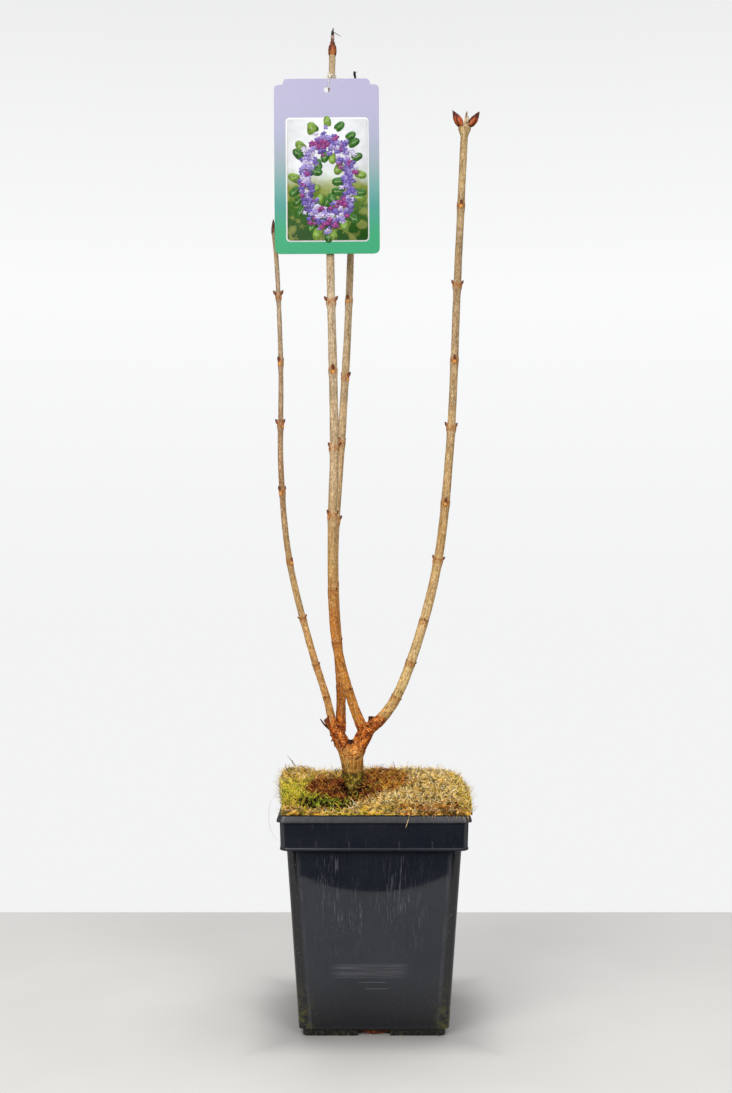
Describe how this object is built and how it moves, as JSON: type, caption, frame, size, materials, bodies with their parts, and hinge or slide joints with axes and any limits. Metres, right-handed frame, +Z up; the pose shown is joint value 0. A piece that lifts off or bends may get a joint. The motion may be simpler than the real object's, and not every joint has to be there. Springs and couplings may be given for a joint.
{
  "type": "potted lilac bush in winter",
  "caption": "Bare young lilac bush with a low forked trunk and long budded canes, in a square nursery pot with a fibre mulch mat and a hanging card.",
  "frame": {"origin": "centre of the pot's flat underside, on the surface that the pot stands on", "axes": "+Z up; +X to the right and +Y to the back, seen from the front where the card shows its face"},
  "size_m": [0.1952, 0.174, 0.912],
  "materials": {
    "pot_plastic": "charcoal moulded plastic, half gloss, scuffed",
    "compost": "dark moist potting compost",
    "mulch_fibre": "loose straw-coloured fibre with green and rust patches",
    "old_bark": "orange-brown cracked bark",
    "young_bark": "grey-tan bark with small pores",
    "bud_scale": "red-brown bud scales, slight sheen",
    "card_print": "printed card with a soft lavender to green blend",
    "thread": "white cotton thread",
    "root": "thin rusty roots in the drain notches"
  },
  "bodies": {
    "root": {"pot": "pot_plastic", "soil": "compost", "mulch_mat": "mulch_fibre", "trunk": "old_bark", "left_arm": "old_bark", "right_arm": "old_bark", "left_cane": "young_bark", "back_cane": "young_bark", "centre_cane": "young_bark", "right_cane": "young_bark", "label_card": "card_print", "label_thread": "thread"}
  },
  "joints": []
}
